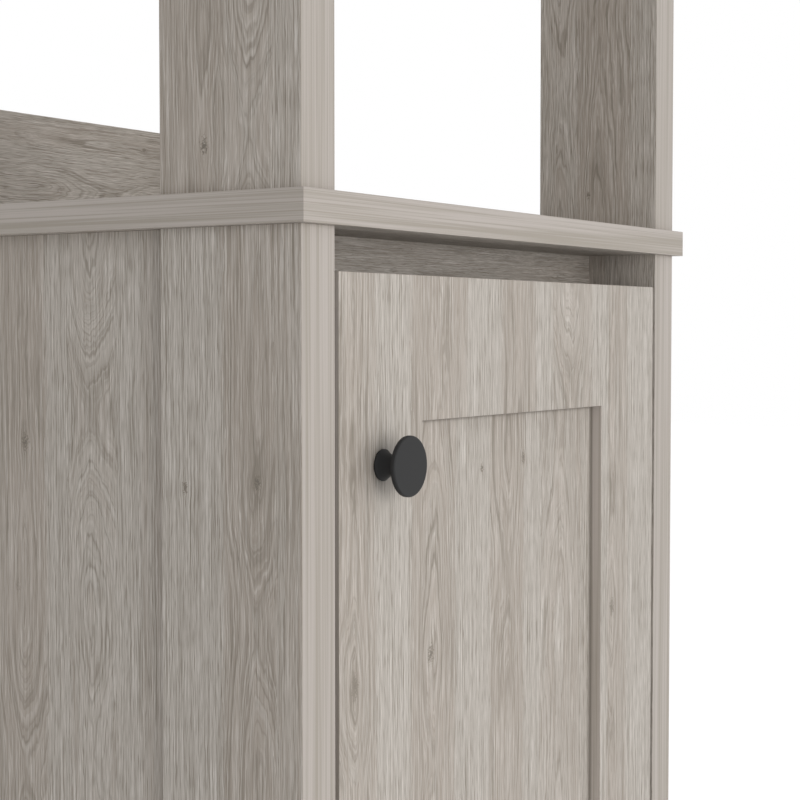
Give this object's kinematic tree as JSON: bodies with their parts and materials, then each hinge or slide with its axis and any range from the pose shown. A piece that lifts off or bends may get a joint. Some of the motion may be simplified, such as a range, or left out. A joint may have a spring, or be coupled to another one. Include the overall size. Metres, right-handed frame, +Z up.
{
  "type": "storage cabinet",
  "caption": "Tall narrow grey oak storage cabinet: an inset recessed door with a black knob under a counter, and open bays between flat corner posts above.",
  "frame": {"origin": "on the floor, under the middle of the cabinet with its knob", "axes": "+X to the right as seen from the front, +Y to the back, +Z up; the door faces -Y"},
  "size_m": [0.4, 0.411, 1.6],
  "materials": {
    "oak_laminate": "grey-washed oak woodgrain laminate, matt",
    "back_board": "thin board with a printed grey oak face",
    "beech": "plain beech",
    "black_metal": "matt black powder coat",
    "nickel_steel": "nickel-plated steel",
    "black_plastic": "moulded plastic",
    "grey_plastic": "moulded plastic",
    "magnet": "sintered magnet"
  },
  "bodies": {
    "carcass": {"lower_post_front_left": "oak_laminate", "lower_post_front_right": "oak_laminate", "lower_post_rear_left": "oak_laminate", "lower_post_rear_right": "oak_laminate", "upper_post_front_left": "oak_laminate", "upper_post_front_right": "oak_laminate", "upper_post_rear_left": "oak_laminate", "upper_post_rear_right": "oak_laminate", "side_panel_left": "oak_laminate", "side_panel_right": "oak_laminate", "back_panel": "back_board", "bottom_shelf": "oak_laminate", "kick_rail": "oak_laminate", "front_rail": "oak_laminate", "counter": "oak_laminate", "inner_shelf": "oak_laminate", "upper_shelf": "oak_laminate", "counter_back_rail": "oak_laminate", "upper_back_rail": "oak_laminate", "head_rail": "oak_laminate", "top_panel": "oak_laminate", "glide_front_left": "black_plastic", "glide_front_right": "black_plastic", "glide_rear_left": "black_plastic", "glide_rear_right": "black_plastic", "shelf_pins": "nickel_steel", "counter_dowels": "beech", "counter_studs": "nickel_steel", "top_dowels": "beech", "top_screws": "nickel_steel", "screw_caps": "grey_plastic", "side_panel_dowels": "beech", "front_rail_dowels": "beech", "back_rail_dowels": "beech", "cam_bolts": "nickel_steel", "cam_locks": "nickel_steel", "back_panel_nails": "nickel_steel", "hinge_plate_upper": "nickel_steel", "hinge_plate_lower": "nickel_steel", "hinge_plate_screws": "nickel_steel", "hinge_arm_upper": "nickel_steel", "hinge_arm_lower": "nickel_steel", "hinge_arm_screws": "nickel_steel", "catch_housing": "grey_plastic", "catch_magnet": "magnet", "catch_screws": "nickel_steel"},
    "door": {"door_leaf": "oak_laminate", "knob": "black_metal", "knob_screw": "nickel_steel", "hinge_cup_upper": "nickel_steel", "hinge_cup_lower": "nickel_steel", "hinge_pin_upper": "nickel_steel", "hinge_pin_lower": "nickel_steel", "hinge_cup_screws": "nickel_steel", "strike_plate": "nickel_steel", "strike_screws": "nickel_steel"}
  },
  "joints": [
    {"name": "door_hinge", "type": "hinge", "parent": "carcass", "child": "door", "pos_m": [0.1445, -0.1797, 0.444], "axis": [0, 0, 1], "range_deg": [0, 95]}
  ]
}
